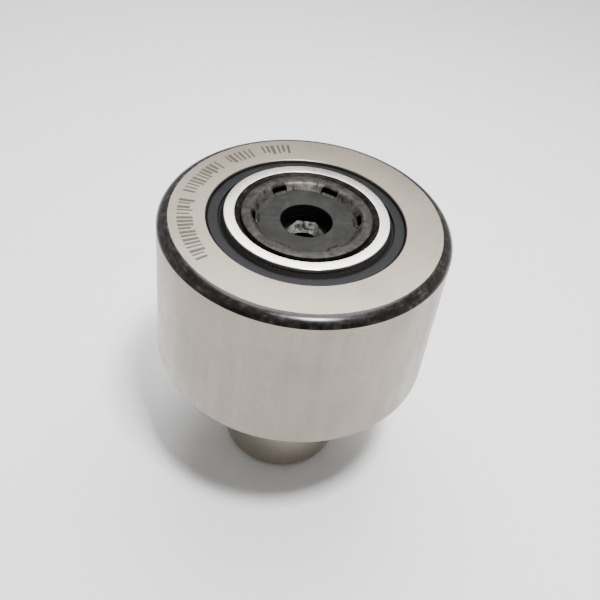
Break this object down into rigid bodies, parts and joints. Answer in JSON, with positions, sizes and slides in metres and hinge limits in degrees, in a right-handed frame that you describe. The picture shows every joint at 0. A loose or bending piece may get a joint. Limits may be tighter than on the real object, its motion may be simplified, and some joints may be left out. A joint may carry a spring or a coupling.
{
  "type": "cam follower",
  "caption": "Stud-type track roller: a thick outer ring turns on two caged rows of cylindrical rollers round a straight stud that is clamped in a machine",
  "frame": {"origin": "on the stud's axis, in the mounting shoulder plane, which is the rear rib washer's outer face; the shank lies below it", "axes": "+Z along the stud towards the roller's front face; +X through the grease port"},
  "size_m": [0.045, 0.045, 0.0506],
  "materials": {
    "ground_steel": "satin, ground",
    "stud_steel": "satin, turned and ground",
    "disc_steel": "matte, blackened",
    "washer_steel": "bright, ground",
    "raceway_steel": "fine ground",
    "roller_steel": "polished",
    "case_steel": "satin, phosphated",
    "lip_rubber": "matte",
    "cage_polyamide": "moulded"
  },
  "bodies": {
    "stud_set": {"stud": "stud_steel", "end_disc": "disc_steel", "inner_sleeve": "raceway_steel", "rib_washer_front": "washer_steel", "rib_washer_rear": "washer_steel"},
    "outer_ring_set": {"outer_ring": "ground_steel", "seal_case_front": "case_steel", "seal_case_rear": "case_steel", "seal_lip_front": "lip_rubber", "seal_lip_rear": "lip_rubber"},
    "cage_front": {"cage_front": "cage_polyamide"},
    "cage_rear": {"cage_rear": "cage_polyamide"},
    "roller_front_01": {"roller_front_01": "roller_steel"},
    "roller_front_02": {"roller_front_02": "roller_steel"},
    "roller_front_03": {"roller_front_03": "roller_steel"},
    "roller_front_04": {"roller_front_04": "roller_steel"},
    "roller_front_05": {"roller_front_05": "roller_steel"},
    "roller_front_06": {"roller_front_06": "roller_steel"},
    "roller_front_07": {"roller_front_07": "roller_steel"},
    "roller_front_08": {"roller_front_08": "roller_steel"},
    "roller_front_09": {"roller_front_09": "roller_steel"},
    "roller_front_10": {"roller_front_10": "roller_steel"},
    "roller_front_11": {"roller_front_11": "roller_steel"},
    "roller_front_12": {"roller_front_12": "roller_steel"},
    "roller_front_13": {"roller_front_13": "roller_steel"},
    "roller_front_14": {"roller_front_14": "roller_steel"},
    "roller_front_15": {"roller_front_15": "roller_steel"},
    "roller_front_16": {"roller_front_16": "roller_steel"},
    "roller_front_17": {"roller_front_17": "roller_steel"},
    "roller_front_18": {"roller_front_18": "roller_steel"},
    "roller_rear_01": {"roller_rear_01": "roller_steel"},
    "roller_rear_02": {"roller_rear_02": "roller_steel"},
    "roller_rear_03": {"roller_rear_03": "roller_steel"},
    "roller_rear_04": {"roller_rear_04": "roller_steel"},
    "roller_rear_05": {"roller_rear_05": "roller_steel"},
    "roller_rear_06": {"roller_rear_06": "roller_steel"},
    "roller_rear_07": {"roller_rear_07": "roller_steel"},
    "roller_rear_08": {"roller_rear_08": "roller_steel"},
    "roller_rear_09": {"roller_rear_09": "roller_steel"},
    "roller_rear_10": {"roller_rear_10": "roller_steel"},
    "roller_rear_11": {"roller_rear_11": "roller_steel"},
    "roller_rear_12": {"roller_rear_12": "roller_steel"},
    "roller_rear_13": {"roller_rear_13": "roller_steel"},
    "roller_rear_14": {"roller_rear_14": "roller_steel"},
    "roller_rear_15": {"roller_rear_15": "roller_steel"},
    "roller_rear_16": {"roller_rear_16": "roller_steel"},
    "roller_rear_17": {"roller_rear_17": "roller_steel"},
    "roller_rear_18": {"roller_rear_18": "roller_steel"}
  },
  "joints": [
    {"name": "outer_ring_spin", "type": "hinge", "parent": "stud_set", "child": "outer_ring_set", "pos_m": [0, 0, 0.0141], "axis": [0, 0, 1], "continuous": true},
    {"name": "cage_front_spin", "type": "hinge", "parent": "stud_set", "child": "cage_front", "pos_m": [0, 0, 0.0141], "axis": [0, 0, 1], "continuous": true},
    {"name": "cage_rear_spin", "type": "hinge", "parent": "stud_set", "child": "cage_rear", "pos_m": [0, 0, 0.0141], "axis": [0, 0, 1], "continuous": true},
    {"name": "roller_front_01_spin", "type": "hinge", "parent": "cage_front", "child": "roller_front_01", "pos_m": [0.0135, 0, 0.0141], "axis": [0, 0, 1], "continuous": true},
    {"name": "roller_front_02_spin", "type": "hinge", "parent": "cage_front", "child": "roller_front_02", "pos_m": [0.01269, 0.00462, 0.0141], "axis": [0, 0, 1], "continuous": true},
    {"name": "roller_front_03_spin", "type": "hinge", "parent": "cage_front", "child": "roller_front_03", "pos_m": [0.01034, 0.00868, 0.0141], "axis": [0, 0, 1], "continuous": true},
    {"name": "roller_front_04_spin", "type": "hinge", "parent": "cage_front", "child": "roller_front_04", "pos_m": [0.00675, 0.01169, 0.0141], "axis": [0, 0, 1], "continuous": true},
    {"name": "roller_front_05_spin", "type": "hinge", "parent": "cage_front", "child": "roller_front_05", "pos_m": [0.00234, 0.01329, 0.0141], "axis": [0, 0, 1], "continuous": true},
    {"name": "roller_front_06_spin", "type": "hinge", "parent": "cage_front", "child": "roller_front_06", "pos_m": [-0.00234, 0.01329, 0.0141], "axis": [0, 0, 1], "continuous": true},
    {"name": "roller_front_07_spin", "type": "hinge", "parent": "cage_front", "child": "roller_front_07", "pos_m": [-0.00675, 0.01169, 0.0141], "axis": [0, 0, 1], "continuous": true},
    {"name": "roller_front_08_spin", "type": "hinge", "parent": "cage_front", "child": "roller_front_08", "pos_m": [-0.01034, 0.00868, 0.0141], "axis": [0, 0, 1], "continuous": true},
    {"name": "roller_front_09_spin", "type": "hinge", "parent": "cage_front", "child": "roller_front_09", "pos_m": [-0.01269, 0.00462, 0.0141], "axis": [0, 0, 1], "continuous": true},
    {"name": "roller_front_10_spin", "type": "hinge", "parent": "cage_front", "child": "roller_front_10", "pos_m": [-0.0135, 0, 0.0141], "axis": [0, 0, 1], "continuous": true},
    {"name": "roller_front_11_spin", "type": "hinge", "parent": "cage_front", "child": "roller_front_11", "pos_m": [-0.01269, -0.00462, 0.0141], "axis": [0, 0, 1], "continuous": true},
    {"name": "roller_front_12_spin", "type": "hinge", "parent": "cage_front", "child": "roller_front_12", "pos_m": [-0.01034, -0.00868, 0.0141], "axis": [0, 0, 1], "continuous": true},
    {"name": "roller_front_13_spin", "type": "hinge", "parent": "cage_front", "child": "roller_front_13", "pos_m": [-0.00675, -0.01169, 0.0141], "axis": [0, 0, 1], "continuous": true},
    {"name": "roller_front_14_spin", "type": "hinge", "parent": "cage_front", "child": "roller_front_14", "pos_m": [-0.00234, -0.01329, 0.0141], "axis": [0, 0, 1], "continuous": true},
    {"name": "roller_front_15_spin", "type": "hinge", "parent": "cage_front", "child": "roller_front_15", "pos_m": [0.00234, -0.01329, 0.0141], "axis": [0, 0, 1], "continuous": true},
    {"name": "roller_front_16_spin", "type": "hinge", "parent": "cage_front", "child": "roller_front_16", "pos_m": [0.00675, -0.01169, 0.0141], "axis": [0, 0, 1], "continuous": true},
    {"name": "roller_front_17_spin", "type": "hinge", "parent": "cage_front", "child": "roller_front_17", "pos_m": [0.01034, -0.00868, 0.0141], "axis": [0, 0, 1], "continuous": true},
    {"name": "roller_front_18_spin", "type": "hinge", "parent": "cage_front", "child": "roller_front_18", "pos_m": [0.01269, -0.00462, 0.0141], "axis": [0, 0, 1], "continuous": true},
    {"name": "roller_rear_01_spin", "type": "hinge", "parent": "cage_rear", "child": "roller_rear_01", "pos_m": [0.0135, 0, 0.0141], "axis": [0, 0, 1], "continuous": true},
    {"name": "roller_rear_02_spin", "type": "hinge", "parent": "cage_rear", "child": "roller_rear_02", "pos_m": [0.01269, 0.00462, 0.0141], "axis": [0, 0, 1], "continuous": true},
    {"name": "roller_rear_03_spin", "type": "hinge", "parent": "cage_rear", "child": "roller_rear_03", "pos_m": [0.01034, 0.00868, 0.0141], "axis": [0, 0, 1], "continuous": true},
    {"name": "roller_rear_04_spin", "type": "hinge", "parent": "cage_rear", "child": "roller_rear_04", "pos_m": [0.00675, 0.01169, 0.0141], "axis": [0, 0, 1], "continuous": true},
    {"name": "roller_rear_05_spin", "type": "hinge", "parent": "cage_rear", "child": "roller_rear_05", "pos_m": [0.00234, 0.01329, 0.0141], "axis": [0, 0, 1], "continuous": true},
    {"name": "roller_rear_06_spin", "type": "hinge", "parent": "cage_rear", "child": "roller_rear_06", "pos_m": [-0.00234, 0.01329, 0.0141], "axis": [0, 0, 1], "continuous": true},
    {"name": "roller_rear_07_spin", "type": "hinge", "parent": "cage_rear", "child": "roller_rear_07", "pos_m": [-0.00675, 0.01169, 0.0141], "axis": [0, 0, 1], "continuous": true},
    {"name": "roller_rear_08_spin", "type": "hinge", "parent": "cage_rear", "child": "roller_rear_08", "pos_m": [-0.01034, 0.00868, 0.0141], "axis": [0, 0, 1], "continuous": true},
    {"name": "roller_rear_09_spin", "type": "hinge", "parent": "cage_rear", "child": "roller_rear_09", "pos_m": [-0.01269, 0.00462, 0.0141], "axis": [0, 0, 1], "continuous": true},
    {"name": "roller_rear_10_spin", "type": "hinge", "parent": "cage_rear", "child": "roller_rear_10", "pos_m": [-0.0135, 0, 0.0141], "axis": [0, 0, 1], "continuous": true},
    {"name": "roller_rear_11_spin", "type": "hinge", "parent": "cage_rear", "child": "roller_rear_11", "pos_m": [-0.01269, -0.00462, 0.0141], "axis": [0, 0, 1], "continuous": true},
    {"name": "roller_rear_12_spin", "type": "hinge", "parent": "cage_rear", "child": "roller_rear_12", "pos_m": [-0.01034, -0.00868, 0.0141], "axis": [0, 0, 1], "continuous": true},
    {"name": "roller_rear_13_spin", "type": "hinge", "parent": "cage_rear", "child": "roller_rear_13", "pos_m": [-0.00675, -0.01169, 0.0141], "axis": [0, 0, 1], "continuous": true},
    {"name": "roller_rear_14_spin", "type": "hinge", "parent": "cage_rear", "child": "roller_rear_14", "pos_m": [-0.00234, -0.01329, 0.0141], "axis": [0, 0, 1], "continuous": true},
    {"name": "roller_rear_15_spin", "type": "hinge", "parent": "cage_rear", "child": "roller_rear_15", "pos_m": [0.00234, -0.01329, 0.0141], "axis": [0, 0, 1], "continuous": true},
    {"name": "roller_rear_16_spin", "type": "hinge", "parent": "cage_rear", "child": "roller_rear_16", "pos_m": [0.00675, -0.01169, 0.0141], "axis": [0, 0, 1], "continuous": true},
    {"name": "roller_rear_17_spin", "type": "hinge", "parent": "cage_rear", "child": "roller_rear_17", "pos_m": [0.01034, -0.00868, 0.0141], "axis": [0, 0, 1], "continuous": true},
    {"name": "roller_rear_18_spin", "type": "hinge", "parent": "cage_rear", "child": "roller_rear_18", "pos_m": [0.01269, -0.00462, 0.0141], "axis": [0, 0, 1], "continuous": true}
  ],
  "couplings": [
    {"joint": "cage_front_spin", "follows": "outer_ring_spin", "ratio": 0.55556},
    {"joint": "cage_rear_spin", "follows": "outer_ring_spin", "ratio": 0.55556},
    {"joint": "roller_front_01_spin", "follows": "outer_ring_spin", "ratio": 4.4444},
    {"joint": "roller_front_02_spin", "follows": "outer_ring_spin", "ratio": 4.4444},
    {"joint": "roller_front_03_spin", "follows": "outer_ring_spin", "ratio": 4.4444},
    {"joint": "roller_front_04_spin", "follows": "outer_ring_spin", "ratio": 4.4444},
    {"joint": "roller_front_05_spin", "follows": "outer_ring_spin", "ratio": 4.4444},
    {"joint": "roller_front_06_spin", "follows": "outer_ring_spin", "ratio": 4.4444},
    {"joint": "roller_front_07_spin", "follows": "outer_ring_spin", "ratio": 4.4444},
    {"joint": "roller_front_08_spin", "follows": "outer_ring_spin", "ratio": 4.4444},
    {"joint": "roller_front_09_spin", "follows": "outer_ring_spin", "ratio": 4.4444},
    {"joint": "roller_front_10_spin", "follows": "outer_ring_spin", "ratio": 4.4444},
    {"joint": "roller_front_11_spin", "follows": "outer_ring_spin", "ratio": 4.4444},
    {"joint": "roller_front_12_spin", "follows": "outer_ring_spin", "ratio": 4.4444},
    {"joint": "roller_front_13_spin", "follows": "outer_ring_spin", "ratio": 4.4444},
    {"joint": "roller_front_14_spin", "follows": "outer_ring_spin", "ratio": 4.4444},
    {"joint": "roller_front_15_spin", "follows": "outer_ring_spin", "ratio": 4.4444},
    {"joint": "roller_front_16_spin", "follows": "outer_ring_spin", "ratio": 4.4444},
    {"joint": "roller_front_17_spin", "follows": "outer_ring_spin", "ratio": 4.4444},
    {"joint": "roller_front_18_spin", "follows": "outer_ring_spin", "ratio": 4.4444},
    {"joint": "roller_rear_01_spin", "follows": "outer_ring_spin", "ratio": 4.4444},
    {"joint": "roller_rear_02_spin", "follows": "outer_ring_spin", "ratio": 4.4444},
    {"joint": "roller_rear_03_spin", "follows": "outer_ring_spin", "ratio": 4.4444},
    {"joint": "roller_rear_04_spin", "follows": "outer_ring_spin", "ratio": 4.4444},
    {"joint": "roller_rear_05_spin", "follows": "outer_ring_spin", "ratio": 4.4444},
    {"joint": "roller_rear_06_spin", "follows": "outer_ring_spin", "ratio": 4.4444},
    {"joint": "roller_rear_07_spin", "follows": "outer_ring_spin", "ratio": 4.4444},
    {"joint": "roller_rear_08_spin", "follows": "outer_ring_spin", "ratio": 4.4444},
    {"joint": "roller_rear_09_spin", "follows": "outer_ring_spin", "ratio": 4.4444},
    {"joint": "roller_rear_10_spin", "follows": "outer_ring_spin", "ratio": 4.4444},
    {"joint": "roller_rear_11_spin", "follows": "outer_ring_spin", "ratio": 4.4444},
    {"joint": "roller_rear_12_spin", "follows": "outer_ring_spin", "ratio": 4.4444},
    {"joint": "roller_rear_13_spin", "follows": "outer_ring_spin", "ratio": 4.4444},
    {"joint": "roller_rear_14_spin", "follows": "outer_ring_spin", "ratio": 4.4444},
    {"joint": "roller_rear_15_spin", "follows": "outer_ring_spin", "ratio": 4.4444},
    {"joint": "roller_rear_16_spin", "follows": "outer_ring_spin", "ratio": 4.4444},
    {"joint": "roller_rear_17_spin", "follows": "outer_ring_spin", "ratio": 4.4444},
    {"joint": "roller_rear_18_spin", "follows": "outer_ring_spin", "ratio": 4.4444}
  ]
}
